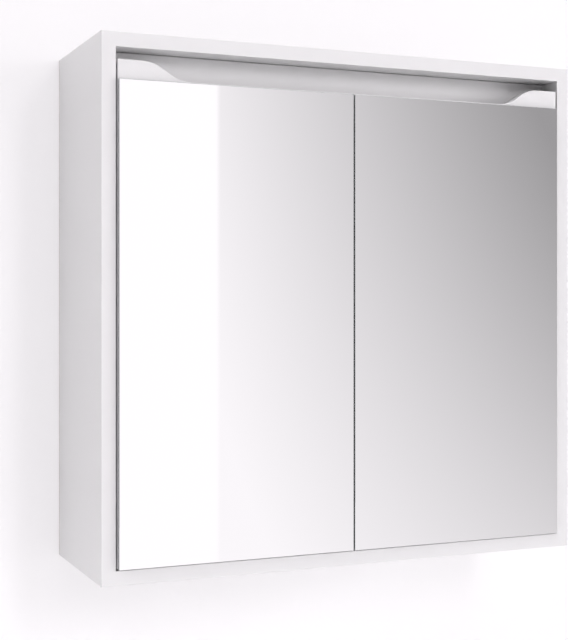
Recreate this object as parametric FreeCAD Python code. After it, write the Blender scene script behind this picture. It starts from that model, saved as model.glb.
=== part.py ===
"""Wall-hung mirror cabinet with two inset doors on cup hinges.

Cabinet coordinates used below: X runs to the right with 0 in the middle, Y runs from the front edges of
the carcass towards the wall, Z runs up from the underside. Each finished piece is moved so that the origin
lies on the wall plane, half way between the two wall screws. All sizes are in millimetres.
"""
import FreeCAD, Part
import math
import os

Vector = FreeCAD.Vector

# Carcass
WIDTH = 600.0
HEIGHT = 600.0
DEPTH = 200.0
BOARD = 16.0
EDGE_ROUND = 0.6

# Back panel and hanging rail
BACK_THICKNESS = 3.0
GROOVE_DEPTH = 6.0
GROOVE_CLEARANCE = 0.1
HANGING_RAIL_HEIGHT = 80.0
HANGING_RAIL_THICKNESS = 16.0
WALL_SCREW_SPACING = 480.0
WALL_SCREW_HOLE_RADIUS = 3.0

# Grip rail behind the finger grip
GRIP_RAIL_SETBACK = 33.0
GRIP_RAIL_THICKNESS = 16.0
GRIP_RAIL_HEIGHT = 64.0
GRIP_RAIL_SHADOW_GAP = 0.6

# Dowels
DOWEL_RADIUS = 4.0
DOWEL_LENGTH = 30.0
DOWEL_DEPTH_IN_SIDE = 11.0
DOWEL_CLEARANCE = 0.05
DOWEL_END_CLEARANCE = 0.5
DOWEL_CHAMFER = 0.8
CARCASS_DOWEL_INSET = 40.0
RAIL_DOWEL_INSET = 16.0

# Doors
DOOR_THICKNESS = 16.0
DOOR_SIDE_GAP = 2.0
DOOR_BOTTOM_GAP = 2.0
DOOR_CENTRE_GAP = 1.6
DOOR_EDGE_ROUND = 1.0
EAR_TOP_GAP = 13.4
EAR_RISE = 20.2
EAR_FLAT = 26.0
EAR_CURVE_LENGTH = 58.0
EAR_CURVE_TENSION = 0.5

# Mirrors on the doors
MIRROR_THICKNESS = 3.0
MIRROR_ARRIS = 0.4
MIRROR_HINGE_MARGIN = 0.6
MIRROR_FREE_MARGIN = 0.0
MIRROR_TOP_MARGIN = 1.6
MIRROR_BOTTOM_OVERHANG = 0.8
TAPE_THICKNESS = 1.0
TAPE_WIDTH = 25.0
TAPE_COUNT = 4
TAPE_EDGE_MARGIN = 14.0
TAPE_END_MARGIN = 20.0

# Cup hinges: the pin stands in the cup, the arm reaches round the edge of the open door
HINGE_FROM_DOOR_BOTTOM = 82.0
HINGE_FROM_DOOR_TOP = 71.0
PIN_FROM_DOOR_EDGE = 24.0
PIN_FROM_DOOR_FRONT = 6.5
PIN_RADIUS = 1.25
PIN_CLEARANCE = 0.05
CUP_RADIUS = 17.5
CUP_WALL = 1.0
CUP_FLOOR = 0.8
CUP_DEPTH = 13.0
CUP_FROM_DOOR_EDGE = 22.5
CUP_CLEARANCE = 0.05
CUP_FLANGE_THICKNESS = 1.2
CUP_FLANGE_LENGTH = 58.0
CUP_FLANGE_WIDTH = 17.0
CUP_SCREW_SPACING = 48.0
ARM_THICKNESS = 3.0
ARM_HEIGHT = 12.0
ARM_EYE_RADIUS = 2.5
ARM_LEAD_ANGLE = 45.0
ARM_SWING_CLEARANCE = 1.3
ARM_BEND_RADIUS = 3.0
PLATE_THICKNESS = 3.0
PLATE_FRONT = 46.0
PLATE_LENGTH = 42.0
PLATE_HEIGHT = 16.0
PLATE_WING_HEIGHT = 44.0
PLATE_WING_LENGTH = 13.0
PLATE_WING_SETBACK = 8.0
PLATE_SCREW_SPACING = 32.0
ARM_SCREW_SETBACK = 30.0

# Screws of the hinges and of the door stop
SCREW_RADIUS = 1.75
SCREW_HEAD_RADIUS = 3.5
SCREW_HEAD_HEIGHT = 1.8
SCREW_CLEARANCE = 0.1
SCREW_LENGTH = 11.0
CUP_SCREW_LENGTH = 12.0
ARM_SCREW_LENGTH = 4.5
ARM_SCREW_RADIUS = 2.0
DRIVE_WIDTH = 0.9
DRIVE_LENGTH = 3.6
DRIVE_DEPTH = 0.9

# Glass shelves and their pins
LOWER_SPACE_HEIGHT = 184.0
MIDDLE_SPACE_HEIGHT = 167.0
SHELF_THICKNESS = 5.0
SHELF_SIDE_GAP = 1.5
SHELF_SETBACK = 46.0
SHELF_BACK_GAP = 2.0
SHELF_EDGE_ROUND = 1.0
SHELF_PIN_RADIUS = 2.5
SHELF_PIN_DEPTH = 9.0
SHELF_PIN_HEAD_RADIUS = 3.5
SHELF_PIN_HEAD_LENGTH = 8.0
SHELF_PIN_SEAT = 2.0
SHELF_PIN_INSET = 24.0
SHELF_PIN_CLEARANCE = 0.05
SHELF_HOLE_PITCH = 32.0
SHELF_HOLE_STEPS = (-1, 0, 1)

# Door stop on the bottom panel
STOP_WIDTH = 44.0
STOP_DEPTH = 14.0
STOP_HEIGHT = 16.0
STOP_ROUND = 2.0
STOP_SCREW_SPACING = 24.0
STOP_SCREW_LENGTH = 24.0
BUMPER_RADIUS = 4.0
BUMPER_THICKNESS = 1.5
BUMPER_CLEARANCE = 0.2
BUMPER_SPACING = 26.0
BUMPER_ROUND = 0.6

# Derived places
SIDE_INNER = WIDTH / 2 - BOARD
TOP_UNDERSIDE = HEIGHT - BOARD
BACK_FRONT = DEPTH - HANGING_RAIL_THICKNESS - BACK_THICKNESS
HANGING_RAIL_BOTTOM = TOP_UNDERSIDE - HANGING_RAIL_HEIGHT
WALL_SCREW_HEIGHT = TOP_UNDERSIDE - HANGING_RAIL_HEIGHT / 2
GRIP_RAIL_TOP = TOP_UNDERSIDE - GRIP_RAIL_SHADOW_GAP
DOOR_HINGE_EDGE = SIDE_INNER - DOOR_SIDE_GAP
DOOR_FREE_EDGE = DOOR_CENTRE_GAP / 2
DOOR_BOTTOM = BOARD + DOOR_BOTTOM_GAP
EAR_TOP = TOP_UNDERSIDE - EAR_TOP_GAP
DOOR_TOP = EAR_TOP - EAR_RISE
MIRROR_TOP = DOOR_TOP - MIRROR_TOP_MARGIN
HINGE_HEIGHTS = (DOOR_BOTTOM + HINGE_FROM_DOOR_BOTTOM, DOOR_TOP - HINGE_FROM_DOOR_TOP)
LOWER_SHELF = BOARD + LOWER_SPACE_HEIGHT
UPPER_SHELF = LOWER_SHELF + SHELF_THICKNESS + MIDDLE_SPACE_HEIGHT
SHELF_HEIGHTS = (LOWER_SHELF, UPPER_SHELF)
PIN_X = DOOR_HINGE_EDGE - PIN_FROM_DOOR_EDGE
PIN_Y = PIN_FROM_DOOR_FRONT
CUP_X = DOOR_HINGE_EDGE - CUP_FROM_DOOR_EDGE
CUP_BOTTOM = DOOR_THICKNESS - CUP_DEPTH
CUP_INNER_RADIUS = CUP_RADIUS - CUP_WALL
DOOR_SWEEP = math.hypot(PIN_FROM_DOOR_EDGE, DOOR_THICKNESS - PIN_FROM_DOOR_FRONT)
ARM_ARC_RADIUS = DOOR_SWEEP + ARM_SWING_CLEARANCE + ARM_THICKNESS / 2
ORIGIN_SHIFT = Vector(0, -DEPTH, -WALL_SCREW_HEIGHT)

LEFT = -1
RIGHT = 1
SIDES = (("left", LEFT), ("right", RIGHT))
LEVELS = ("lower", "upper")


def box(x0, x1, y0, y1, z0, z1):
    return Part.makeBox(x1 - x0, y1 - y0, z1 - z0, Vector(x0, y0, z0))


def rod(radius, start, direction, length):
    return Part.makeCylinder(radius, length, start, direction)


def mirrored(shape):
    return shape.mirror(Vector(0, 0, 0), Vector(1, 0, 0))


def on_side(shape, side):
    """Pieces are drawn for the right side. The left one is its mirror image."""
    if side == LEFT:
        return mirrored(shape)
    return shape


def edges_along(shape, direction):
    picked = []
    for edge in shape.Edges:
        ends = [v.Point for v in edge.Vertexes]
        if len(ends) == 2 and (ends[1] - ends[0]).normalize().cross(direction).Length < 1e-6:
            picked.append(edge)
    return picked


def edges_on_plane(shape, axis, value):
    """Edges whose every point has the given coordinate on the given axis (0, 1 or 2)."""
    picked = []
    for edge in shape.Edges:
        if all(abs(p[axis] - value) < 1e-6 for p in edge.discretize(5)):
            picked.append(edge)
    return picked


def save(name, shape):
    shape = shape.copy()
    shape.translate(ORIGIN_SHIFT)
    shape.exportStep("parts/" + name + ".step")


def save_group(name, shapes):
    save(name, Part.makeCompound(shapes))


# Dowels: beech, across every joint between a side panel and a piece that runs between the side panels.
def dowel_places(y_positions, z_positions):
    return [(y, z) for y in y_positions for z in z_positions]


CARCASS_DOWELS = dowel_places((CARCASS_DOWEL_INSET, DEPTH / 2, DEPTH - CARCASS_DOWEL_INSET),
                              (BOARD / 2, HEIGHT - BOARD / 2))
GRIP_RAIL_DOWELS = dowel_places((GRIP_RAIL_SETBACK + GRIP_RAIL_THICKNESS / 2,),
                                (GRIP_RAIL_TOP - RAIL_DOWEL_INSET,
                                 GRIP_RAIL_TOP - GRIP_RAIL_HEIGHT + RAIL_DOWEL_INSET))
HANGING_RAIL_DOWELS = dowel_places((DEPTH - HANGING_RAIL_THICKNESS / 2,),
                                   (TOP_UNDERSIDE - RAIL_DOWEL_INSET,
                                    HANGING_RAIL_BOTTOM + RAIL_DOWEL_INSET))


def dowel(y, z):
    start = SIDE_INNER + DOWEL_DEPTH_IN_SIDE
    body = rod(DOWEL_RADIUS, Vector(start, y, z), Vector(-1, 0, 0), DOWEL_LENGTH)
    return body.makeChamfer(DOWEL_CHAMFER, edges_on_plane(body, 0, start) +
                            edges_on_plane(body, 0, start - DOWEL_LENGTH))


def dowel_hole(y, z):
    start = SIDE_INNER + DOWEL_DEPTH_IN_SIDE + DOWEL_END_CLEARANCE
    length = DOWEL_LENGTH + 2 * DOWEL_END_CLEARANCE
    return rod(DOWEL_RADIUS + DOWEL_CLEARANCE, Vector(start, y, z), Vector(-1, 0, 0), length)


def both_ends(tool, places):
    right = [tool(y, z) for y, z in places]
    return right + [mirrored(shape) for shape in right]


# Back panel: thin board that slides in a groove of all four carcass boards.
def back_outline(margin, thickness_margin):
    reach = SIDE_INNER + GROOVE_DEPTH - margin
    low = BOARD - GROOVE_DEPTH + margin
    high = TOP_UNDERSIDE + GROOVE_DEPTH - margin
    front = BACK_FRONT - thickness_margin
    back = BACK_FRONT + BACK_THICKNESS + thickness_margin
    return box(-reach, reach, front, back, low, high)


def wall_screw_holes(radius):
    holes = []
    for side in (LEFT, RIGHT):
        start = Vector(side * WALL_SCREW_SPACING / 2, BACK_FRONT, WALL_SCREW_HEIGHT)
        holes.append(rod(radius, start, Vector(0, 1, 0), DEPTH - BACK_FRONT))
    return holes


def back_panel():
    return back_outline(2 * GROOVE_CLEARANCE, 0).cut(wall_screw_holes(WALL_SCREW_HOLE_RADIUS))


def back_groove():
    return back_outline(0, GROOVE_CLEARANCE)


def hanging_rail():
    body = box(-SIDE_INNER, SIDE_INNER, DEPTH - HANGING_RAIL_THICKNESS + GROOVE_CLEARANCE, DEPTH,
               HANGING_RAIL_BOTTOM, TOP_UNDERSIDE)
    body = body.cut(both_ends(dowel_hole, HANGING_RAIL_DOWELS))
    return body.cut(wall_screw_holes(WALL_SCREW_HOLE_RADIUS))


# Side panels: full height, bored for the dowels, the hinge plates and the shelf pins.
def side_panel(side):
    body = box(SIDE_INNER, WIDTH / 2, 0, DEPTH, 0, HEIGHT)
    outer = [e for e in edges_on_plane(body, 1, 0) if e.BoundBox.XMax > SIDE_INNER + BOARD / 2]
    body = body.makeFillet(EDGE_ROUND, outer)
    body = body.cut(back_groove())
    holes = [dowel_hole(y, z) for y, z in CARCASS_DOWELS + GRIP_RAIL_DOWELS + HANGING_RAIL_DOWELS]
    holes += [shelf_pin_hole(y, z) for y, z in shelf_hole_places()]
    holes += [plate_screw_hole(y, z) for y, z in plate_screw_places()]
    return on_side(body.cut(holes), side)


# Top and bottom panels run between the side panels.
def cross_panel(z0):
    body = box(-SIDE_INNER, SIDE_INNER, 0, DEPTH, z0, z0 + BOARD)
    outer_z = HEIGHT if z0 > HEIGHT / 2 else 0
    front_edges = [e for e in edges_on_plane(body, 1, 0) if e.BoundBox.ZLength < 1e-6]
    front_edges = [e for e in front_edges if abs(e.BoundBox.ZMin - outer_z) < 1e-6]
    body = body.makeFillet(EDGE_ROUND, front_edges)
    body = body.cut(back_groove())
    places = [(y, z) for y, z in CARCASS_DOWELS if z0 < z < z0 + BOARD]
    return body.cut(both_ends(dowel_hole, places))


def top_panel():
    return cross_panel(TOP_UNDERSIDE)


def bottom_panel():
    body = cross_panel(0)
    return body.cut([stop_screw_hole(x) for x in stop_screw_places()])


# Grip rail: upright board behind the finger grip, a shadow gap below the top panel.
def grip_rail():
    body = box(-SIDE_INNER, SIDE_INNER, GRIP_RAIL_SETBACK, GRIP_RAIL_SETBACK + GRIP_RAIL_THICKNESS,
               GRIP_RAIL_TOP - GRIP_RAIL_HEIGHT, GRIP_RAIL_TOP)
    body = body.makeFillet(EDGE_ROUND, edges_along(body, Vector(1, 0, 0)))
    return body.cut(both_ends(dowel_hole, GRIP_RAIL_DOWELS))


# Door board: the ear at the hinge side dips in an S-curve to the lower top edge.
def door_outline():
    bottom_hinge = Vector(DOOR_HINGE_EDGE, 0, DOOR_BOTTOM)
    bottom_free = Vector(DOOR_FREE_EDGE, 0, DOOR_BOTTOM)
    top_free = Vector(DOOR_FREE_EDGE, 0, DOOR_TOP)
    curve_low = Vector(DOOR_HINGE_EDGE - EAR_FLAT - EAR_CURVE_LENGTH, 0, DOOR_TOP)
    curve_high = Vector(DOOR_HINGE_EDGE - EAR_FLAT, 0, EAR_TOP)
    ear_corner = Vector(DOOR_HINGE_EDGE, 0, EAR_TOP)
    lead = Vector(EAR_CURVE_LENGTH * EAR_CURVE_TENSION, 0, 0)
    curve = Part.BezierCurve()
    curve.setPoles([curve_low, curve_low + lead, curve_high - lead, curve_high])
    edges = [Part.makeLine(bottom_hinge, bottom_free), Part.makeLine(bottom_free, top_free),
             Part.makeLine(top_free, curve_low), curve.toShape(),
             Part.makeLine(curve_high, ear_corner), Part.makeLine(ear_corner, bottom_hinge)]
    return Part.Face(Part.Wire(edges))


def door_panel(side):
    body = door_outline().extrude(Vector(0, DOOR_THICKNESS, 0))
    body = body.makeFillet(DOOR_EDGE_ROUND, edges_on_plane(body, 1, 0))
    for z in HINGE_HEIGHTS:
        body = body.cut(cup_bore(z))
        body = body.cut([cup_screw_hole(x, z_screw) for x, z_screw in cup_screw_places(z)])
    return on_side(body, side)


# Mirror: float glass with ground edges, held on the door board by strips of mounting tape.
def door_mirror(side):
    front = -TAPE_THICKNESS - MIRROR_THICKNESS
    body = box(DOOR_FREE_EDGE + MIRROR_FREE_MARGIN, DOOR_HINGE_EDGE - MIRROR_HINGE_MARGIN,
               front, -TAPE_THICKNESS, DOOR_BOTTOM - MIRROR_BOTTOM_OVERHANG, MIRROR_TOP)
    body = body.makeChamfer(MIRROR_ARRIS, edges_on_plane(body, 1, front))
    return on_side(body, side)


def mirror_tape(side):
    first = DOOR_FREE_EDGE + MIRROR_FREE_MARGIN + TAPE_EDGE_MARGIN
    last = DOOR_HINGE_EDGE - MIRROR_HINGE_MARGIN - TAPE_EDGE_MARGIN - TAPE_WIDTH
    strips = []
    for index in range(TAPE_COUNT):
        x = first + (last - first) * index / (TAPE_COUNT - 1)
        strips.append(on_side(box(x, x + TAPE_WIDTH, -TAPE_THICKNESS, 0, DOOR_BOTTOM + TAPE_END_MARGIN,
                                  MIRROR_TOP - TAPE_END_MARGIN), side))
    return strips


# Hinge cup: pressed steel pot in the back of the door board, with a flange for two screws.
def cup_bore(z):
    start = Vector(CUP_X, CUP_BOTTOM - CUP_CLEARANCE, z)
    return rod(CUP_RADIUS + CUP_CLEARANCE, start, Vector(0, 1, 0), CUP_DEPTH + 2 * CUP_CLEARANCE)


def cup_screw_places(z):
    return [(CUP_X, z - CUP_SCREW_SPACING / 2), (CUP_X, z + CUP_SCREW_SPACING / 2)]


def cup_screw_hole(x, z):
    start = Vector(x, DOOR_THICKNESS, z)
    depth = CUP_SCREW_LENGTH - CUP_FLANGE_THICKNESS + SCREW_CLEARANCE
    return rod(SCREW_RADIUS + SCREW_CLEARANCE, start, Vector(0, -1, 0), depth)


def hinge_pin_hole(radius, z, half_length):
    return rod(radius, Vector(PIN_X, PIN_Y, z - half_length), Vector(0, 0, 1), 2 * half_length)


def hinge_cup(side, z):
    flange_back = DOOR_THICKNESS + CUP_FLANGE_THICKNESS
    pot = rod(CUP_RADIUS, Vector(CUP_X, CUP_BOTTOM, z), Vector(0, 1, 0), flange_back - CUP_BOTTOM)
    flange = box(CUP_X - CUP_FLANGE_WIDTH / 2, CUP_X + CUP_FLANGE_WIDTH / 2, DOOR_THICKNESS, flange_back,
                 z - CUP_FLANGE_LENGTH / 2, z + CUP_FLANGE_LENGTH / 2)
    flange = flange.makeFillet(CUP_FLANGE_WIDTH / 4, edges_along(flange, Vector(0, 1, 0)))
    body = pot.fuse(flange).removeSplitter()
    floor = Vector(CUP_X, CUP_BOTTOM + CUP_FLOOR, z)
    body = body.cut(rod(CUP_INNER_RADIUS, floor, Vector(0, 1, 0), CUP_DEPTH + CUP_FLANGE_THICKNESS))
    body = body.cut(hinge_pin_hole(PIN_RADIUS + PIN_CLEARANCE, z, CUP_RADIUS))
    for x, z_screw in cup_screw_places(z):
        body = body.cut(rod(SCREW_RADIUS + SCREW_CLEARANCE, Vector(x, DOOR_THICKNESS, z_screw),
                            Vector(0, 1, 0), CUP_FLANGE_THICKNESS))
    return on_side(body, side)


def hinge_pin(side, z):
    reach = math.sqrt(CUP_RADIUS ** 2 - (abs(CUP_X - PIN_X) + PIN_RADIUS) ** 2)
    return on_side(hinge_pin_hole(PIN_RADIUS, z, reach), side)


# Hinge arm: steel strip from the pin out of the cup, round the swept edge of the door, back along the plate.
def polar(angle, radius):
    turn = math.radians(180 - angle)
    return Vector(PIN_X + radius * math.cos(turn), PIN_Y + radius * math.sin(turn), 0)


def arm_strip(z):
    half = ARM_THICKNESS / 2
    low = z - ARM_HEIGHT / 2
    plate_face = SIDE_INNER - PLATE_THICKNESS
    ring_outer = rod(ARM_ARC_RADIUS + half, Vector(PIN_X, PIN_Y, low), Vector(0, 0, 1), ARM_HEIGHT)
    ring_inner = rod(ARM_ARC_RADIUS - half, Vector(PIN_X, PIN_Y, low), Vector(0, 0, 1), ARM_HEIGHT)
    reach = ARM_ARC_RADIUS + ARM_THICKNESS
    corner = Vector(PIN_X, PIN_Y, 0)
    edge_end = polar(ARM_LEAD_ANGLE, 2 * reach)
    sector = Part.Face(Part.makePolygon([corner, edge_end, Vector(edge_end.x, PIN_Y + 2 * reach, 0),
                                         Vector(PIN_X, PIN_Y + 2 * reach, 0), corner]))
    sector.translate(Vector(0, 0, low))
    ring = ring_outer.cut(ring_inner).common(sector.extrude(Vector(0, 0, ARM_HEIGHT)))
    lead = box(0, ARM_ARC_RADIUS + half, -half, half, low, low + ARM_HEIGHT)
    lead.rotate(Vector(0, 0, 0), Vector(0, 0, 1), 180 - ARM_LEAD_ANGLE)
    lead.translate(corner)
    neck_y = PIN_Y + ARM_ARC_RADIUS
    neck = box(PIN_X, plate_face, neck_y - half, neck_y + half, low, low + ARM_HEIGHT)
    foot = box(plate_face - ARM_THICKNESS, plate_face, neck_y - half, PLATE_FRONT + PLATE_LENGTH,
               low, low + ARM_HEIGHT)
    strip = ring.fuse([lead, neck, foot]).removeSplitter()
    bends = [e for e in edges_along(strip, Vector(0, 0, 1))
             if abs(e.BoundBox.XMin - plate_face) < 1e-6 and abs(e.BoundBox.YMin - (neck_y - half)) < 1e-6]
    return strip.makeFillet(ARM_BEND_RADIUS, bends)


def hinge_arm(side, z):
    eye = rod(ARM_EYE_RADIUS, Vector(PIN_X, PIN_Y, z - ARM_HEIGHT / 2), Vector(0, 0, 1), ARM_HEIGHT)
    body = arm_strip(z).fuse(eye).removeSplitter()
    body = body.cut(hinge_pin_hole(PIN_RADIUS + PIN_CLEARANCE, z, ARM_HEIGHT))
    y = PLATE_FRONT + ARM_SCREW_SETBACK
    start = Vector(SIDE_INNER - PLATE_THICKNESS, y, z)
    body = body.cut(rod(ARM_SCREW_RADIUS + SCREW_CLEARANCE, start, Vector(-1, 0, 0), ARM_THICKNESS))
    return on_side(body, side)


# Mounting plate: cross-shaped steel plate on the inner face of the side panel.
def plate_screw_places():
    y = PLATE_FRONT + PLATE_WING_SETBACK + PLATE_WING_LENGTH / 2
    places = []
    for z in HINGE_HEIGHTS:
        places += [(y, z - PLATE_SCREW_SPACING / 2), (y, z + PLATE_SCREW_SPACING / 2)]
    return places


def plate_screw_hole(y, z):
    depth = SCREW_LENGTH - PLATE_THICKNESS + SCREW_CLEARANCE
    return rod(SCREW_RADIUS + SCREW_CLEARANCE, Vector(SIDE_INNER, y, z), Vector(1, 0, 0), depth)


def hinge_plate(side, z):
    inner = SIDE_INNER - PLATE_THICKNESS
    bar = box(inner, SIDE_INNER, PLATE_FRONT, PLATE_FRONT + PLATE_LENGTH,
              z - PLATE_HEIGHT / 2, z + PLATE_HEIGHT / 2)
    wing_front = PLATE_FRONT + PLATE_WING_SETBACK
    wing = box(inner, SIDE_INNER, wing_front, wing_front + PLATE_WING_LENGTH,
               z - PLATE_WING_HEIGHT / 2, z + PLATE_WING_HEIGHT / 2)
    wing = wing.makeFillet(PLATE_WING_LENGTH / 3, edges_along(wing, Vector(1, 0, 0)))
    body = bar.fuse(wing).removeSplitter()
    for y, z_screw in plate_screw_places():
        body = body.cut(rod(SCREW_RADIUS + SCREW_CLEARANCE, Vector(SIDE_INNER, y, z_screw),
                            Vector(-1, 0, 0), PLATE_THICKNESS))
    y = PLATE_FRONT + ARM_SCREW_SETBACK
    body = body.cut(rod(ARM_SCREW_RADIUS + SCREW_CLEARANCE, Vector(SIDE_INNER, y, z),
                        Vector(-1, 0, 0), PLATE_THICKNESS))
    return on_side(body, side)


# Screws: pan heads with a cross recess. The head sits on seat, the shank runs along direction.
def screw(seat, direction, radius, length):
    shank = rod(radius, seat, direction, length)
    head = rod(SCREW_HEAD_RADIUS, seat, direction * -1, SCREW_HEAD_HEIGHT)
    top = seat - direction * SCREW_HEAD_HEIGHT
    rim = [e for e in head.Edges if all(abs((p - top).dot(direction)) < 1e-6 for p in e.discretize(5))]
    head = head.makeFillet(SCREW_HEAD_HEIGHT / 2, rim)
    recess = cross_recess(top, direction)
    return shank.fuse(head).removeSplitter().cut(recess)


def cross_recess(top, direction):
    slots = []
    for quarter in (0, 90):
        slot = box(-DRIVE_LENGTH / 2, DRIVE_LENGTH / 2, -DRIVE_WIDTH / 2, DRIVE_WIDTH / 2, 0, DRIVE_DEPTH)
        slot.rotate(Vector(0, 0, 0), Vector(0, 0, 1), quarter)
        slots.append(slot)
    cross = slots[0].fuse(slots[1])
    cross.Placement = FreeCAD.Placement(top, FreeCAD.Rotation(Vector(0, 0, 1), direction))
    return cross


def cup_screws(side):
    shapes = []
    for z in HINGE_HEIGHTS:
        for x, z_screw in cup_screw_places(z):
            seat = Vector(x, DOOR_THICKNESS + CUP_FLANGE_THICKNESS, z_screw)
            shapes.append(on_side(screw(seat, Vector(0, -1, 0), SCREW_RADIUS, CUP_SCREW_LENGTH), side))
    return shapes


def plate_screws(side):
    shapes = []
    for y, z in plate_screw_places():
        seat = Vector(SIDE_INNER - PLATE_THICKNESS, y, z)
        shapes.append(on_side(screw(seat, Vector(1, 0, 0), SCREW_RADIUS, SCREW_LENGTH), side))
    return shapes


def arm_screws(side):
    shapes = []
    for z in HINGE_HEIGHTS:
        seat = Vector(SIDE_INNER - PLATE_THICKNESS - ARM_THICKNESS, PLATE_FRONT + ARM_SCREW_SETBACK, z)
        shapes.append(on_side(screw(seat, Vector(1, 0, 0), ARM_SCREW_RADIUS, ARM_SCREW_LENGTH), side))
    return shapes


# Glass shelves rest on flat-topped pins in the side panels.
def shelf_back():
    return BACK_FRONT - SHELF_BACK_GAP


def shelf_pin_rows():
    return (SHELF_SETBACK + SHELF_PIN_INSET, shelf_back() - SHELF_PIN_INSET)


def shelf_pin_height(shelf_z):
    return shelf_z - SHELF_PIN_SEAT


def shelf_hole_places():
    places = []
    for shelf_z in SHELF_HEIGHTS:
        for step in SHELF_HOLE_STEPS:
            for y in shelf_pin_rows():
                places.append((y, shelf_pin_height(shelf_z) + step * SHELF_HOLE_PITCH))
    return places


def shelf_pin_hole(y, z):
    return rod(SHELF_PIN_RADIUS + SHELF_PIN_CLEARANCE, Vector(SIDE_INNER, y, z), Vector(1, 0, 0),
               SHELF_PIN_DEPTH + DOWEL_END_CLEARANCE)


def glass_shelf(shelf_z):
    reach = SIDE_INNER - SHELF_SIDE_GAP
    body = box(-reach, reach, SHELF_SETBACK, shelf_back(), shelf_z, shelf_z + SHELF_THICKNESS)
    front_edges = [e for e in edges_on_plane(body, 1, SHELF_SETBACK) if e.BoundBox.ZLength < 1e-6]
    return body.makeFillet(SHELF_EDGE_ROUND, front_edges)


def shelf_pin(y, z):
    peg = rod(SHELF_PIN_RADIUS, Vector(SIDE_INNER, y, z), Vector(1, 0, 0), SHELF_PIN_DEPTH)
    head = rod(SHELF_PIN_HEAD_RADIUS, Vector(SIDE_INNER, y, z), Vector(-1, 0, 0), SHELF_PIN_HEAD_LENGTH)
    waste = box(SIDE_INNER - SHELF_PIN_HEAD_LENGTH, SIDE_INNER,
                y - SHELF_PIN_HEAD_RADIUS, y + SHELF_PIN_HEAD_RADIUS,
                z + SHELF_PIN_SEAT, z + SHELF_PIN_HEAD_RADIUS)
    return peg.fuse(head.cut(waste)).removeSplitter()


def shelf_pins(shelf_z):
    places = [(y, shelf_pin_height(shelf_z)) for y in shelf_pin_rows()]
    return both_ends(shelf_pin, places)


# Door stop: plastic block on the bottom panel behind both doors, with two soft bumpers.
def stop_front():
    return DOOR_THICKNESS + BUMPER_CLEARANCE + BUMPER_THICKNESS


def stop_screw_places():
    return (-STOP_SCREW_SPACING / 2, STOP_SCREW_SPACING / 2)


def stop_screw_y():
    return stop_front() + STOP_DEPTH / 2


def stop_screw_hole(x):
    depth = STOP_SCREW_LENGTH - STOP_HEIGHT + SCREW_CLEARANCE
    return rod(SCREW_RADIUS + SCREW_CLEARANCE, Vector(x, stop_screw_y(), BOARD), Vector(0, 0, -1), depth)


def door_stop():
    body = box(-STOP_WIDTH / 2, STOP_WIDTH / 2, stop_front(), stop_front() + STOP_DEPTH,
               BOARD, BOARD + STOP_HEIGHT)
    body = body.makeFillet(STOP_ROUND, edges_along(body, Vector(0, 0, 1)))
    for x in stop_screw_places():
        start = Vector(x, stop_screw_y(), BOARD)
        body = body.cut(rod(SCREW_RADIUS + SCREW_CLEARANCE, start, Vector(0, 0, 1), STOP_HEIGHT))
    return body


def stop_screws():
    seats = [Vector(x, stop_screw_y(), BOARD + STOP_HEIGHT) for x in stop_screw_places()]
    return [screw(seat, Vector(0, 0, -1), SCREW_RADIUS, STOP_SCREW_LENGTH) for seat in seats]


def bumper(side):
    z = DOOR_BOTTOM + (BOARD + STOP_HEIGHT - DOOR_BOTTOM) / 2
    back = Vector(side * BUMPER_SPACING / 2, stop_front(), z)
    body = rod(BUMPER_RADIUS, back, Vector(0, -1, 0), BUMPER_THICKNESS)
    return body.makeFillet(BUMPER_ROUND, edges_on_plane(body, 1, stop_front() - BUMPER_THICKNESS))


os.makedirs("parts", exist_ok=True)

save("left_side_panel", side_panel(LEFT))
save("right_side_panel", side_panel(RIGHT))
save("top_panel", top_panel())
save("bottom_panel", bottom_panel())
save("back_panel", back_panel())
save("hanging_rail", hanging_rail())
save("grip_rail", grip_rail())
save_group("carcass_dowels", both_ends(dowel, CARCASS_DOWELS))
save_group("grip_rail_dowels", both_ends(dowel, GRIP_RAIL_DOWELS))
save_group("hanging_rail_dowels", both_ends(dowel, HANGING_RAIL_DOWELS))
for level, shelf_z in zip(LEVELS, SHELF_HEIGHTS):
    save(level + "_glass_shelf", glass_shelf(shelf_z))
    save_group(level + "_shelf_pins", shelf_pins(shelf_z))
save("door_stop", door_stop())
save_group("door_stop_screws", stop_screws())
save_group("door_bumpers", [bumper(LEFT), bumper(RIGHT)])
for name, side in SIDES:
    save(name + "_door_panel", door_panel(side))
    save(name + "_door_mirror", door_mirror(side))
    save_group(name + "_mirror_tape", mirror_tape(side))
    for level, z in zip(LEVELS, HINGE_HEIGHTS):
        save(name + "_" + level + "_hinge_cup", hinge_cup(side, z))
        save(name + "_" + level + "_hinge_pin", hinge_pin(side, z))
        save(name + "_" + level + "_hinge_arm", hinge_arm(side, z))
        save(name + "_" + level + "_hinge_plate", hinge_plate(side, z))
    save_group(name + "_cup_screws", cup_screws(side))
    save_group(name + "_plate_screws", plate_screws(side))
    save_group(name + "_arm_screws", arm_screws(side))
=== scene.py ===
"""Looks of a wall-hung mirror cabinet: lacquered boards, inset mirror doors, glass shelves."""
import math

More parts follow.
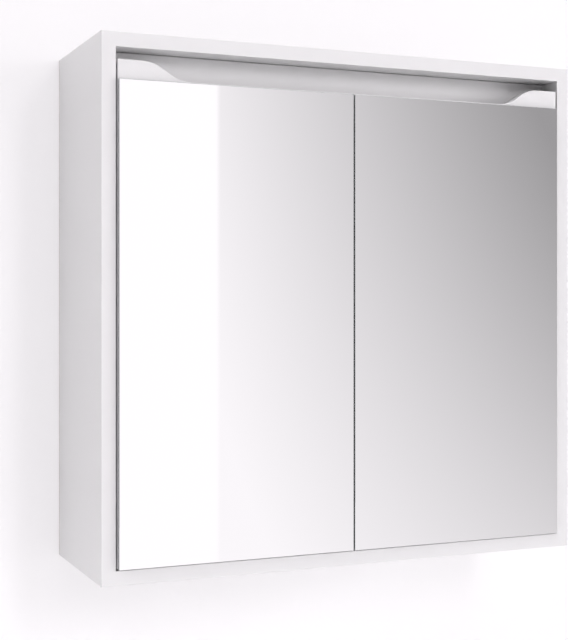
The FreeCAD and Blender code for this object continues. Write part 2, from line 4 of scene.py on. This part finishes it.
import bpy
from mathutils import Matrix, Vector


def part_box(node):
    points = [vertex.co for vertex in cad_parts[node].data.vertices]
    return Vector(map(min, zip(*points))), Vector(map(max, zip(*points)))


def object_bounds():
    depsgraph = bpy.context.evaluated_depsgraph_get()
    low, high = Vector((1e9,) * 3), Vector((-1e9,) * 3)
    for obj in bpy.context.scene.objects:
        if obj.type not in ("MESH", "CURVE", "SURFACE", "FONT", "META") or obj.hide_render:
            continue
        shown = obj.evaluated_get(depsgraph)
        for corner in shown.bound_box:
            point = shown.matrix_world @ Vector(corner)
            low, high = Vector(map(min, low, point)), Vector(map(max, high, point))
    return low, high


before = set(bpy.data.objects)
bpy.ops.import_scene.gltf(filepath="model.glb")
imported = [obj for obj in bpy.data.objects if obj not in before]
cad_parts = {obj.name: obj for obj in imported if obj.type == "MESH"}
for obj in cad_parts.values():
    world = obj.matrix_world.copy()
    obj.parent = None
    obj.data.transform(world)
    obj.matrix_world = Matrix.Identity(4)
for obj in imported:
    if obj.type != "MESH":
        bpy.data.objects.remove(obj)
cad_low, cad_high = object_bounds()


# Carcass boards: two side panels, with the top panel, bottom panel and grip rail between them.
# 16 mm fibreboard, sprayed satin white; the lacquer keeps a faint orange peel and faint clouds.
# The boards meet flush on dowels and no seam shows; only the edges at the wall are left raw.
LACQUER_WHITE = (0.745, 0.745, 0.745, 1.0)
LACQUER_SHADE = (0.735, 0.735, 0.735, 1.0)
LACQUER_ROUGHNESS = 0.36
LACQUER_ROUGHNESS_SPREAD = 0.1
LACQUER_CLOUDS = (9.0, 3.0, 0.5)  # here and below, a noise is its scale, detail and roughness
ORANGE_PEEL = (700.0, 2.0, 0.5)
ORANGE_PEEL_DEPTH = 0.00006
RAW_EDGE_DEPTH = 0.0004
RAW_EDGE_ROUGHER = 0.5
FIBRE_LIGHT = (0.5, 0.36, 0.22, 1.0)
FIBRE_DARK = (0.34, 0.23, 0.13, 1.0)
FIBRES = (1500.0, 4.0, 0.7)
FIBRE_CLOUDS = (45.0, 5.0, 0.65)
FIBRE_CLOUD_SHARE = 0.45
FIBRE_RANGE = (0.3, 0.7)


class Tone:
    """One socket among a material's nodes. Sums, differences and products add Math nodes."""

    def __init__(self, tree, socket=None):
        self.tree = tree
        self.socket = socket

    def node(self, kind, settings=None, sockets=None, outlet=0):
        """Adds a node, sets it up, then gives its sockets their values or links."""
        made = self.tree.nodes.new("ShaderNode" + kind)
        for name, value in (settings or {}).items():
            setattr(made, name, value)
        for name, value in (sockets or {}).items():
            feed(self.tree, made.inputs[name], value)
        return Tone(self.tree, made.outputs[outlet])

    def maths(self, operation, first, second):
        return self.node("Math", {"operation": operation}, {0: first, 1: second})

    def __add__(self, other):
        return self.maths("ADD", self, other)

    def __radd__(self, other):
        return self.maths("ADD", other, self)

    def __sub__(self, other):
        return self.maths("SUBTRACT", self, other)

    def __rsub__(self, other):
        return self.maths("SUBTRACT", other, self)

    def __mul__(self, other):
        return self.maths("MULTIPLY", self, other)

    def __rmul__(self, other):
        return self.maths("MULTIPLY", other, self)

    def __pow__(self, power):
        return self.maths("POWER", self, power)

    def above(self, limit):
        return self.maths("GREATER_THAN", self, limit)

    def held(self, low, high):
        """This tone, but never under low or over high."""
        return self.maths("MINIMUM", self.maths("MAXIMUM", self, low), high)

    def between(self, low, high):
        """0 below low, 1 above high, and a smooth step from one to the other."""
        return self.node("MapRange", {"interpolation_type": "SMOOTHSTEP"},
                         {"Value": self, "From Min": low, "From Max": high})

    def colours(self, first, second):
        """The first colour where this tone is 0, the second where it is 1."""
        return self.node("Mix", {"data_type": "RGBA"}, {0: self, 6: first, 7: second}, 2)

    def along(self, axis):
        return self.node("SeparateXYZ", {}, {0: self}, axis)

    def stretched(self, scale):
        return self.node("Mapping", {}, {"Vector": self, "Scale": scale})

    def noise(self, scale, detail, roughness):
        return self.node("TexNoise", {}, {"Vector": self, "Scale": scale, "Detail": detail,
                                          "Roughness": roughness})

    def cells(self, outlet, scale=1.0):
        return self.node("TexVoronoi", {}, {"Vector": self, "Scale": scale}, outlet)

    def bump(self, depth, normal=None):
        sockets = {"Height": self, "Distance": depth}
        if normal:
            sockets["Normal"] = normal
        return self.node("Bump", {}, sockets, "Normal")

    def ray(self, kind):
        """1 for rays of one kind, such as those from the camera, and 0 for all others."""
        return self.node("LightPath", {}, {}, "Is " + kind + " Ray")


def feed(tree, socket, value):
    if isinstance(value, Tone):
        tree.links.new(value.socket, socket)
    else:
        socket.default_value = value


def new_finish(name):
    """A material, and the place on the piece in metres to build its pattern from."""
    material = bpy.data.materials.new(name)
    material.use_nodes = True
    place = Tone(material.node_tree).node("TexCoord", {}, {}, "Object")
    return material, place


def set_finish(material, sockets):
    shader = material.node_tree.nodes["Principled BSDF"]
    for name, value in sockets.items():
        feed(material.node_tree, shader.inputs[name], value)


def put_on(material, *nodes):
    for node in nodes:
        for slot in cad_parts[node].material_slots:
            slot.material = material


def fibreboard(place):
    fine = place.noise(*FIBRES)
    grain = fine + FIBRE_CLOUD_SHARE * (place.noise(*FIBRE_CLOUDS) - fine)
    return grain.between(*FIBRE_RANGE).colours(FIBRE_DARK, FIBRE_LIGHT)


def white_lacquer(name, raw_back):
    material, place = new_finish(name)
    clouds = place.noise(*LACQUER_CLOUDS)
    colour = clouds.colours(LACQUER_SHADE, LACQUER_WHITE)
    roughness = LACQUER_ROUGHNESS + LACQUER_ROUGHNESS_SPREAD * clouds
    if raw_back:
        raw = place.along("Y").above(-RAW_EDGE_DEPTH)
        colour = raw.colours(colour, fibreboard(place))
        roughness = roughness + RAW_EDGE_ROUGHER * raw
    set_finish(material, {"Base Color": colour, "Roughness": roughness,
                          "Normal": place.noise(*ORANGE_PEEL).bump(ORANGE_PEEL_DEPTH)})
    return material


put_on(white_lacquer("carcass_lacquer", True),
       "left_side_panel", "right_side_panel", "top_panel", "bottom_panel", "grip_rail")


# Back panel: 3 mm hardboard that slides in grooves of the four boards.
# Its face in the cabinet is coated matt white, and the side towards the wall stays brown.
BACK_WHITE = (0.81, 0.81, 0.8, 1.0)
BACK_SHADE = (0.78, 0.78, 0.77, 1.0)
BACK_COAT_DEPTH = 0.0005
BACK_STIPPLE = (420.0, 3.0, 0.6)
BACK_STIPPLE_DEPTH = 0.00012
BACK_ROUGHNESS = 0.6
BACK_RAW_ROUGHER = 0.25

back_board, place = new_finish("back_board")
back_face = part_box("back_panel")[0].y
behind = place.along("Y").above(back_face + BACK_COAT_DEPTH)
stipple = place.noise(*BACK_STIPPLE)
set_finish(back_board, {
    "Base Color": behind.colours(stipple.colours(BACK_SHADE, BACK_WHITE), fibreboard(place)),
    "Roughness": BACK_ROUGHNESS + BACK_RAW_ROUGHER * behind,
    "Normal": stipple.bump(BACK_STIPPLE_DEPTH)})
put_on(back_board, "back_panel")


# Hanging rail: chipboard across the back, under the top panel, for the two wall screws.
# Nothing covers it, so pressed wood chips a few millimetres long show on every face.
CHIP_PALE = (0.62, 0.5, 0.34, 1.0)
CHIP_DARK = (0.36, 0.25, 0.15, 1.0)
CHIP_STRETCH = (180.0, 420.0, 520.0)
CHIP_DEPTH = 0.0002
CHIP_ROUGHNESS = 0.85

chipboard, place = new_finish("chipboard")
chips = place.stretched(CHIP_STRETCH).cells("Color").along("X")
set_finish(chipboard, {"Base Color": chips.colours(CHIP_DARK, CHIP_PALE),
                       "Roughness": CHIP_ROUGHNESS, "Normal": chips.bump(CHIP_DEPTH)})
put_on(chipboard, "hanging_rail")


# Dowels: turned beech, 8 mm thick, glued across every joint between a side panel and a board.
# Fine straight grain along the dowel, with the short dark flecks that beech has.
BEECH_PALE = (0.72, 0.53, 0.35, 1.0)
BEECH_DARK = (0.56, 0.38, 0.22, 1.0)
BEECH_STRETCH = (60.0, 900.0, 900.0)
BEECH_GRAIN = (1.0, 4.0, 0.6)
BEECH_RANGE = (0.35, 0.65)
BEECH_GRAIN_DEPTH = 0.0001
BEECH_ROUGHNESS = 0.6

beech, place = new_finish("beech")
grain = place.stretched(BEECH_STRETCH).noise(*BEECH_GRAIN)
set_finish(beech, {"Base Color": grain.between(*BEECH_RANGE).colours(BEECH_DARK, BEECH_PALE),
                   "Roughness": BEECH_ROUGHNESS, "Normal": grain.bump(BEECH_GRAIN_DEPTH)})
put_on(beech, "carcass_dowels", "grip_rail_dowels", "hanging_rail_dowels")


# Shelves: two panes of 5 mm float glass that lie loose on their pins.
# Clear, with faint finger marks and the green of float glass along the ground front edge.
SHELF_CLEAR = (0.95, 0.985, 0.97, 1.0)
SHELF_EDGE_GREEN = (0.42, 0.7, 0.6, 1.0)
SHELF_EDGE_DEPTH = 0.0012
SHELF_EDGE_ROUGHNESS = 0.22
FINGER_MARKS = (18.0, 4.0, 0.5)
FINGER_MARK_RANGE = (0.45, 0.8)
FINGER_MARK_ROUGHNESS = 0.03
GLASS_IOR = 1.52

shelf_glass, place = new_finish("shelf_glass")
shelf_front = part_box("lower_glass_shelf")[0].y
ground = 1 - place.along("Y").above(shelf_front + SHELF_EDGE_DEPTH)
marks = place.noise(*FINGER_MARKS).between(*FINGER_MARK_RANGE)
set_finish(shelf_glass, {
    "Base Color": ground.colours(SHELF_CLEAR, SHELF_EDGE_GREEN),
    "Roughness": SHELF_EDGE_ROUGHNESS * ground + FINGER_MARK_ROUGHNESS * marks,
    "Transmission Weight": 1.0, "IOR": GLASS_IOR})
put_on(shelf_glass, "lower_glass_shelf", "upper_glass_shelf")


# Shelf pins: bright plated steel pegs with a flat on top, pressed into the side panels.
# The hinge pins are drawn from the same plated wire, and both keep fine turning marks.
PLATED_BRIGHT = (0.82, 0.82, 0.81, 1.0)
PLATED_GREY = (0.66, 0.66, 0.65, 1.0)
PLATED_ROUGHNESS = 0.14
PLATED_ROUGHNESS_SPREAD = 0.12
TURNING_STRETCH = (1800.0, 160.0, 160.0)
TURNING_MARKS = (1.0, 3.0, 0.5)
TURNING_DEPTH = 0.00003

plated_steel, place = new_finish("plated_steel")
turning = place.stretched(TURNING_STRETCH).noise(*TURNING_MARKS)
set_finish(plated_steel, {"Base Color": turning.colours(PLATED_GREY, PLATED_BRIGHT),
                          "Metallic": 1.0,
                          "Roughness": PLATED_ROUGHNESS + PLATED_ROUGHNESS_SPREAD * turning,
                          "Normal": turning.bump(TURNING_DEPTH)})
put_on(plated_steel, "lower_shelf_pins", "upper_shelf_pins",
       "left_lower_hinge_pin", "left_upper_hinge_pin",
       "right_lower_hinge_pin", "right_upper_hinge_pin")


# Door stop: moulded white block on the bottom panel, screwed down behind the meeting doors.
# Spark-eroded mould, so it has a fine even grain. Two soft clear bumpers take the doors.
STOP_WHITE = (0.83, 0.83, 0.82, 1.0)
STOP_SHADE = (0.79, 0.79, 0.78, 1.0)
STOP_GRAIN = (1600.0, 2.0, 0.5)
STOP_GRAIN_DEPTH = 0.00008
STOP_ROUGHNESS = 0.5
BUMPER_CLEAR = (0.93, 0.94, 0.92, 1.0)
BUMPER_MILKY = (0.85, 0.87, 0.84, 1.0)
BUMPER_HAZE = (260.0, 2.0, 0.5)
BUMPER_ROUGHNESS = 0.3
BUMPER_ROUGHNESS_SPREAD = 0.15
BUMPER_CLEARNESS = 0.8
BUMPER_IOR = 1.45

moulded_plastic, place = new_finish("moulded_plastic")
mould_grain = place.noise(*STOP_GRAIN)
set_finish(moulded_plastic, {"Base Color": mould_grain.colours(STOP_SHADE, STOP_WHITE),
                             "Roughness": STOP_ROUGHNESS,
                             "Normal": mould_grain.bump(STOP_GRAIN_DEPTH)})
put_on(moulded_plastic, "door_stop")

clear_rubber, place = new_finish("clear_rubber")
haze = place.noise(*BUMPER_HAZE)
set_finish(clear_rubber, {"Base Color": haze.colours(BUMPER_MILKY, BUMPER_CLEAR),
                          "Roughness": BUMPER_ROUGHNESS + BUMPER_ROUGHNESS_SPREAD * haze,
                          "Transmission Weight": BUMPER_CLEARNESS, "IOR": BUMPER_IOR})
put_on(clear_rubber, "door_bumpers")


# Door boards: 16 mm fibreboard, routed to the ear and its S-curve.
# Sprayed satin white on all sides; each hangs inside the carcass on two cup hinges.
put_on(white_lacquer("door_lacquer", False), "left_door_panel", "right_door_panel")


# Mirrors: 3 mm float glass, silvered and painted on the back, with ground edges.
# Each stands 4 mm proud of its door board, on strips of foam tape.
SILVER = (0.96, 0.96, 0.96, 1.0)
GROUND_GLASS = (0.31, 0.335, 0.33, 1.0)
BACKING_PAINT = (0.2, 0.23, 0.24, 1.0)
MIRROR_FACE_DEPTH = 0.0002
MIRROR_ROUGHNESS = 0.004
WIPE_STRETCH = (5.0, 5.0, 14.0)
WIPE_MARKS = (1.0, 3.0, 0.5)
WIPE_RANGE = (0.4, 0.8)
WIPE_ROUGHNESS = 0.012
GROUND_ROUGHNESS = 0.4

mirror, place = new_finish("mirror")
mirror_low, mirror_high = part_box("left_door_mirror")
edge = place.along("Y").above(mirror_low.y + MIRROR_FACE_DEPTH)
painted = place.along("Y").above(mirror_high.y - MIRROR_FACE_DEPTH)
wiped = place.stretched(WIPE_STRETCH).noise(*WIPE_MARKS).between(*WIPE_RANGE)
set_finish(mirror, {
    "Base Color": painted.colours(edge.colours(SILVER, GROUND_GLASS), BACKING_PAINT),
    "Metallic": 1 - edge,
    "Roughness": MIRROR_ROUGHNESS + WIPE_ROUGHNESS * wiped + GROUND_ROUGHNESS * edge})
put_on(mirror, "left_door_mirror", "right_door_mirror")


# Mounting tape: 1 mm grey foam in four strips per door, between board and mirror.
# Closed cells a few tenths of a millimetre wide show on its cut edges.
FOAM_PALE = (0.58, 0.58, 0.57, 1.0)
FOAM_DARK = (0.4, 0.4, 0.4, 1.0)
FOAM_CELL_SCALE = 2500.0
FOAM_CELL_DEPTH = 0.0002
FOAM_ROUGHNESS = 0.9

foam_tape, place = new_finish("foam_tape")
foam_cells = place.cells("Distance", FOAM_CELL_SCALE)
set_finish(foam_tape, {"Base Color": foam_cells.colours(FOAM_DARK, FOAM_PALE),
                       "Roughness": FOAM_ROUGHNESS, "Normal": foam_cells.bump(FOAM_CELL_DEPTH)})
put_on(foam_tape, "left_mirror_tape", "right_mirror_tape")


# Hinges: cup in the door, arm and mounting plate, pressed from steel sheet and nickel plated.
# Plating follows the rolled sheet, so faint drawing lines run along each piece.
NICKEL_BRIGHT = (0.8, 0.78, 0.745, 1.0)
NICKEL_GREY = (0.72, 0.705, 0.67, 1.0)
NICKEL_ROUGHNESS = 0.16
NICKEL_ROUGHNESS_SPREAD = 0.12
ROLLING_STRETCH = (1400.0, 70.0, 2600.0)
ROLLING_LINES = (1.0, 3.0, 0.5)
ROLLING_DEPTH = 0.000006
PRESSED_EDGE = 0.0004

nickel, place = new_finish("nickel_plate")
rolling = place.stretched(ROLLING_STRETCH).noise(*ROLLING_LINES)
rounded = place.node("Bevel", {}, {"Radius": PRESSED_EDGE}, "Normal")
set_finish(nickel, {"Base Color": rolling.colours(NICKEL_GREY, NICKEL_BRIGHT), "Metallic": 1.0,
                    "Roughness": NICKEL_ROUGHNESS + NICKEL_ROUGHNESS_SPREAD * rolling,
                    "Normal": rolling.bump(ROLLING_DEPTH, rounded)})
for side in ("left", "right"):
    for height in ("lower", "upper"):
        hinge = side + "_" + height + "_hinge_"
        put_on(nickel, hinge + "cup", hinge + "arm", hinge + "plate")


# Screws: zinc plated steel with a cross recess, in the cups, plates, arms and the door stop.
# The plating has a cool, slightly blotched grey and is duller than the nickel.
ZINC_PALE = (0.7, 0.71, 0.72, 1.0)
ZINC_DULL = (0.5, 0.51, 0.53, 1.0)
ZINC_BLOTCHES = (700.0, 3.0, 0.5)
ZINC_ROUGHNESS = 0.3
ZINC_ROUGHNESS_SPREAD = 0.2

zinc, place = new_finish("zinc_plate")
blotch = place.noise(*ZINC_BLOTCHES)
set_finish(zinc, {"Base Color": blotch.colours(ZINC_DULL, ZINC_PALE), "Metallic": 1.0,
                  "Roughness": ZINC_ROUGHNESS + ZINC_ROUGHNESS_SPREAD * blotch})
put_on(zinc, "door_stop_screws", "left_cup_screws", "left_plate_screws", "left_arm_screws",
       "right_cup_screws", "right_plate_screws", "right_arm_screws")


# Wall and floor: one pale sheet, bent up behind the cabinet like a studio sweep.
# It is open behind the cabinet and clear from its far side, so the cabinet's back can be seen.
# In the mirrors its floor fades to an even light grey, away from the wall.
SWEEP_HALF_WIDTH = 6.0
SWEEP_TOP = 3.0
SWEEP_RADIUS = 0.5
SWEEP_STEPS = 16
FLOOR_HEIGHT = -1.5
FLOOR_DEPTH = 6.0
WALL_GAP = 0.0005
OPENING_INSET = 0.0005
BLACK = (0.0, 0.0, 0.0, 1.0)
WALL_WHITE = (0.87, 0.87, 0.87, 1.0)
WALL_SHADE = (0.85, 0.85, 0.85, 1.0)
WALL_SEEN = (0.43, 0.43, 0.43, 1.0)
WALL_LIFT = (0.534, 0.518, 0.534, 1.0)
FLOOR_GREY = (0.8, 0.78, 0.8, 1.0)
FLOOR_GREY_RANGE = (-1.8, -0.3)
PLASTER_GRAIN = (120.0, 3.0, 0.5)
PLASTER_GRAIN_DEPTH = 0.0002
PLASTER_ROUGHNESS = 0.9


def pick_faces(mesh, wanted):
    bpy.ops.object.mode_set(mode="OBJECT")
    for face in mesh.polygons:
        face.select = wanted(face.center)
    bpy.ops.object.mode_set(mode="EDIT")


def pick_edges(mesh, wanted):
    bpy.ops.object.mode_set(mode="OBJECT")
    for edge in mesh.edges:
        ends = [mesh.vertices[i].co for i in edge.vertices]
        edge.select = all(wanted(end) for end in ends)
    bpy.ops.object.mode_set(mode="EDIT")


bpy.ops.object.select_all(action="DESELECT")
bpy.ops.mesh.primitive_plane_add(size=1.0, rotation=(math.pi / 2, 0, 0),
                                 location=(0, WALL_GAP, (SWEEP_TOP + FLOOR_HEIGHT) / 2))
sweep = bpy.context.object
sweep.name = "wall_and_floor"
sweep.scale = (2 * SWEEP_HALF_WIDTH, SWEEP_TOP - FLOOR_HEIGHT, 1)
bpy.ops.object.transform_apply(location=True, rotation=True, scale=True)
bpy.ops.object.mode_set(mode="EDIT")
bpy.ops.mesh.select_mode(type="EDGE")
bpy.ops.mesh.select_all(action="DESELECT")
pick_edges(sweep.data, lambda end: end.z < FLOOR_HEIGHT + WALL_GAP)
bpy.ops.mesh.extrude_edges_move(TRANSFORM_OT_translate={"value": (0, -FLOOR_DEPTH, 0)})
pick_edges(sweep.data, lambda end: end.z < FLOOR_HEIGHT + WALL_GAP and end.y > -WALL_GAP)
bpy.ops.mesh.bevel(offset=SWEEP_RADIUS, segments=SWEEP_STEPS, affect="EDGES")
for point, across in (((cad_low.x + OPENING_INSET, 0, 0), (1, 0, 0)),
                      ((cad_high.x - OPENING_INSET, 0, 0), (1, 0, 0)),
                      ((0, 0, cad_low.z + OPENING_INSET), (0, 0, 1)),
                      ((0, 0, cad_high.z - OPENING_INSET), (0, 0, 1))):
    bpy.ops.mesh.select_all(action="SELECT")
    bpy.ops.mesh.bisect(plane_co=point, plane_no=across)
bpy.ops.mesh.select_mode(type="FACE")
pick_faces(sweep.data,
           lambda c: cad_low.x < c.x < cad_high.x and cad_low.z < c.z < cad_high.z)
bpy.ops.mesh.delete(type="FACE")
bpy.ops.object.mode_set(mode="OBJECT")

plaster, place = new_finish("plaster")
plaster_grain = place.noise(*PLASTER_GRAIN)
seen = place.ray("Camera")
grey_part = place.ray("Glossy") * (1 - place.along("Y").between(*FLOOR_GREY_RANGE))
lit_colour = grey_part.colours(plaster_grain.colours(WALL_SHADE, WALL_WHITE), BLACK)
own_light = grey_part.colours(BLACK, FLOOR_GREY)
set_finish(plaster, {"Base Color": seen.colours(lit_colour, WALL_SEEN),
                     "Emission Color": seen.colours(own_light, WALL_LIFT),
                     "Emission Strength": 1.0,
                     "Roughness": PLASTER_ROUGHNESS, "Specular IOR Level": 0.0,
                     "Normal": plaster_grain.bump(PLASTER_GRAIN_DEPTH)})
tree = plaster.node_tree
solid = Tone(tree, tree.nodes["Principled BSDF"].outputs[0])
clear = place.node("BsdfTransparent")
far_side = place.node("NewGeometry", {}, {}, "Backfacing") * seen
shown = place.node("MixShader", {}, {0: far_side, 1: solid, 2: clear})
tree.links.new(shown.socket, tree.nodes["Material Output"].inputs["Surface"])
sweep.data.materials.append(plaster)


# Reflected card: a glowing sheet that only the mirrors see, across the room behind the camera.
# Its glow is a painted reflection: the left part is white, and from a straight upright edge
# painted shade falls off in grey to the upper right. Its foot fades into the grey of the floor.
CARD_Y = -3.2
CARD_LEFT = -5.0
CARD_RIGHT = 6.0
CARD_BOTTOM = -1.45
CARD_TOP = 3.0
CARD_FOOT_TOP = -1.2
CARD_FOOT_LEVEL = 0.75
CARD_WHITE = (1.066, 1.0345, 1.066, 1.0)
CARD_EDGE_X = 0.9035
CARD_EDGE_SOFT = 0.012
CARD_GREY = 0.9735
CARD_GREY_X = 1.0
CARD_GREY_Z = cad_low.z
CARD_GREY_SHARE = 0.957
CARD_FALL_X = -0.1675
CARD_FALL_Z = -0.053
CARD_FALL_CORNER = -0.0796
CARD_DARKEST = 0.61
CARD_PALEST = 0.992
CARD_POWER = 2.2

bpy.ops.object.select_all(action="DESELECT")
bpy.ops.mesh.primitive_plane_add(size=1.0, rotation=(math.pi / 2, 0, 0),
                                 location=((CARD_LEFT + CARD_RIGHT) / 2, CARD_Y,
                                           (CARD_BOTTOM + CARD_TOP) / 2))
card = bpy.context.object
card.name = "reflected_card"
card.scale = (CARD_RIGHT - CARD_LEFT, CARD_TOP - CARD_BOTTOM, 1)
bpy.ops.object.transform_apply(location=True, rotation=True, scale=True)
card.visible_camera = False
card.visible_diffuse = False
card.visible_transmission = False
card.visible_shadow = False

card_painted_reflection, place = new_finish("card_painted_reflection")
# The card's grey is painted shade of the room that the mirrors reflect; it glows and is lit by
# no lamp.
across = place.along("X") - CARD_GREY_X
upward = place.along("Z") - CARD_GREY_Z
fall = CARD_FALL_X * across + CARD_FALL_Z * upward + CARD_FALL_CORNER * (across * upward)
card_painted_shade = (CARD_GREY + fall).held(CARD_DARKEST, CARD_PALEST) ** CARD_POWER
past_edge = place.along("X").between(CARD_EDGE_X - CARD_EDGE_SOFT, CARD_EDGE_X + CARD_EDGE_SOFT)
above_foot = place.along("Z").between(CARD_BOTTOM, CARD_FOOT_TOP)
level = 1 - past_edge * (1 - CARD_GREY_SHARE * card_painted_shade)
level = CARD_FOOT_LEVEL + above_foot * (level - CARD_FOOT_LEVEL)
set_finish(card_painted_reflection, {"Base Color": BLACK, "Specular IOR Level": 0.0,
                        "Emission Color": level.colours(BLACK, CARD_WHITE),
                        "Emission Strength": 1.0})
card.data.materials.append(card_painted_reflection)


# Studio light: a tall soft key lamp in front and a low lamp at the right stand near. Far lamps
# shine from the right, the left, high on the left, the front and above; the room is dim.
# The right and key lamps draw the shadow on the wall, left of and below the cabinet.
LIGHT_TINT = (1.0, 0.97, 1.0)
LAMP_DISTANCE = 5.5
LAMP_MIDDLE = (0.0, -0.1, -0.25)
FAR_LAMPS = (  # name, degrees to the right, degrees up, degrees wide, strength
    ("right_lamp", 66.0, 6.0, 24.0, 1.72),
    ("left_lamp", -80.0, 25.0, 24.0, 0.37),
    ("left_high_lamp", -72.0, 56.0, 24.0, 1.15),
    ("front_lamp", 0.0, 25.0, 24.0, 0.36),
    ("top_lamp", 0.0, 64.0, 24.0, 0.46),
)
NEAR_LAMPS = (  # name, degrees to the right, degrees up, width, height, strength
    ("key_lamp", 11.5, 20.0, 0.8, 2.2, 82.0),
    ("low_lamp", 46.0, -7.0, 2.0, 1.1, 16.0),
)
ROOM_LEVEL = 0.01
ROOM_BEHIND = 0.7
ROOM_MIRRORED = 0.3

world = bpy.data.worlds.new("room")
bpy.context.scene.world = world
world.use_nodes = True
tree = world.node_tree
facing = Tone(tree).node("TexCoord", {}, {}, "Generated")
behind_wall = facing.along("Y").above(0.0)
mirrored = facing.ray("Glossy") + facing.ray("Transmission")
room = ROOM_LEVEL + ROOM_BEHIND * behind_wall + ROOM_MIRRORED * mirrored
room = room + facing.ray("Camera") * (1 - room)
feed(tree, tree.nodes["Background"].inputs["Color"], room.colours(BLACK, LIGHT_TINT + (1.0,)))


def hang_lamp(name, kind, right, up, strength):
    lamp = bpy.data.lights.new(name, kind)
    lamp.energy = strength
    lamp.color = LIGHT_TINT
    holder = bpy.data.objects.new(name, lamp)
    bpy.context.scene.collection.objects.link(holder)
    turn, tilt = math.radians(right), math.radians(up)
    away = (math.sin(turn) * math.cos(tilt), -math.cos(turn) * math.cos(tilt), math.sin(tilt))
    holder.location = [m + LAMP_DISTANCE * a for m, a in zip(LAMP_MIDDLE, away)]
    holder.rotation_euler = (math.pi / 2 - tilt, 0, turn)
    holder.visible_glossy = False
    holder.visible_camera = False
    return lamp


for name, right, up, wide, strength in FAR_LAMPS:
    hang_lamp(name, "SUN", right, up, strength).angle = math.radians(wide)
for name, right, up, width, height, strength in NEAR_LAMPS:
    softbox = hang_lamp(name, "AREA", right, up, strength)
    softbox.shape = "ELLIPSE"
    softbox.size = width
    softbox.size_y = height


# Camera: level with the middle of the cabinet, to its left and turned right.
# The lens axis lies off the middle of the picture, and the shift moves the frame by that much.
CAMERA_PLACE = (-0.66387, -1.58955, -0.23375)
CAMERA_TURN = 23.95
PICTURE_WIDTH = 568
PICTURE_HEIGHT = 640
FOCAL_PIXELS = 1317.6
LENS_AXIS_X = 316.5
LENS_AXIS_Y = 299.21
SENSOR = 36.0

camera = bpy.data.cameras.new("camera")
camera.sensor_width = SENSOR
camera.lens = FOCAL_PIXELS / PICTURE_HEIGHT * SENSOR
camera.shift_x = (PICTURE_WIDTH / 2 - LENS_AXIS_X) / PICTURE_HEIGHT
camera.shift_y = (LENS_AXIS_Y - PICTURE_HEIGHT / 2) / PICTURE_HEIGHT
camera_object = bpy.data.objects.new("camera", camera)
bpy.context.scene.collection.objects.link(camera_object)
camera_object.location = CAMERA_PLACE
camera_object.rotation_euler = (math.pi / 2, 0, -math.radians(CAMERA_TURN))
bpy.context.scene.camera = camera_object
bpy.context.scene.view_settings.view_transform = "Standard"
